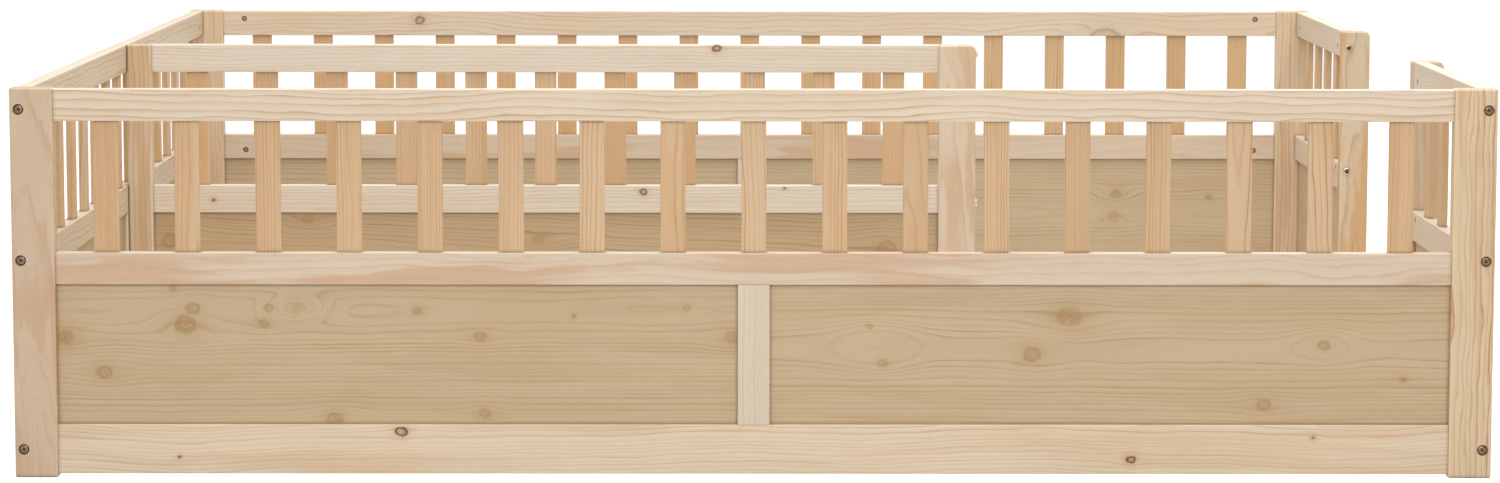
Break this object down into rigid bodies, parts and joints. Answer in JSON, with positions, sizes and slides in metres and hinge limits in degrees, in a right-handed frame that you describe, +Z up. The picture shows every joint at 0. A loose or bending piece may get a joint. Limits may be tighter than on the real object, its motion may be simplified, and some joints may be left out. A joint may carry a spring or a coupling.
{
  "type": "fenced floor bed",
  "caption": "Low pine bed frame that stands on the floor as a slatted, panelled fence with a doorway and a divider between two mattress bays.",
  "frame": {"origin": "on the floor, under the middle of the outline in plan", "axes": "+X along the bed to the doorway end, +Y from the front fence to the back fence, +Z up"},
  "size_m": [2.104, 1.99, 0.55],
  "materials": {
    "pine_posts": "planed and sanded solid pine, clear satin lacquer",
    "pine_rails": "planed and sanded solid pine, clear satin lacquer",
    "pine_slats": "planed and sanded solid pine, clear satin lacquer",
    "pine_panels": "thin knotty pine board, clear satin lacquer",
    "bolt_steel": "bronze coloured zinc plate",
    "nut_steel": "bronze coloured zinc plate",
    "beech": "plain turned beech"
  },
  "bodies": {
    "root": {"back_bottom_rail": "pine_rails", "back_first_panel": "pine_panels", "back_left_post": "pine_posts", "back_middle_rail": "pine_rails", "back_right_post": "pine_posts", "back_second_panel": "pine_panels", "back_slats": "pine_slats", "back_stile": "pine_rails", "back_top_rail": "pine_rails", "barrel_nuts": "nut_steel", "cross_corner_bolts": "bolt_steel", "divider_bottom_rail": "pine_rails", "divider_end_bolts": "bolt_steel", "divider_end_post": "pine_posts", "divider_middle_rail": "pine_rails", "divider_panel": "pine_panels", "divider_slats": "pine_slats", "divider_top_rail": "pine_rails", "divider_wall_bolts": "bolt_steel", "divider_wall_post": "pine_posts", "dowels": "beech", "far_jamb_post": "pine_posts", "front_bottom_rail": "pine_rails", "front_first_panel": "pine_panels", "front_left_post": "pine_posts", "front_middle_rail": "pine_rails", "front_right_post": "pine_posts", "front_second_panel": "pine_panels", "front_slats": "pine_slats", "front_stile": "pine_rails", "front_top_rail": "pine_rails", "jamb_bolts": "bolt_steel", "left_bottom_rail": "pine_rails", "left_first_panel": "pine_panels", "left_middle_rail": "pine_rails", "left_second_panel": "pine_panels", "left_slats": "pine_slats", "left_stile": "pine_rails", "left_top_rail": "pine_rails", "long_corner_bolts": "bolt_steel", "near_jamb_post": "pine_posts", "right_far_bottom_rail": "pine_rails", "right_far_middle_rail": "pine_rails", "right_far_panel": "pine_panels", "right_far_slats": "pine_slats", "right_far_top_rail": "pine_rails", "right_near_bottom_rail": "pine_rails", "right_near_middle_rail": "pine_rails", "right_near_panel": "pine_panels", "right_near_slats": "pine_slats", "right_near_top_rail": "pine_rails"}
  },
  "joints": []
}
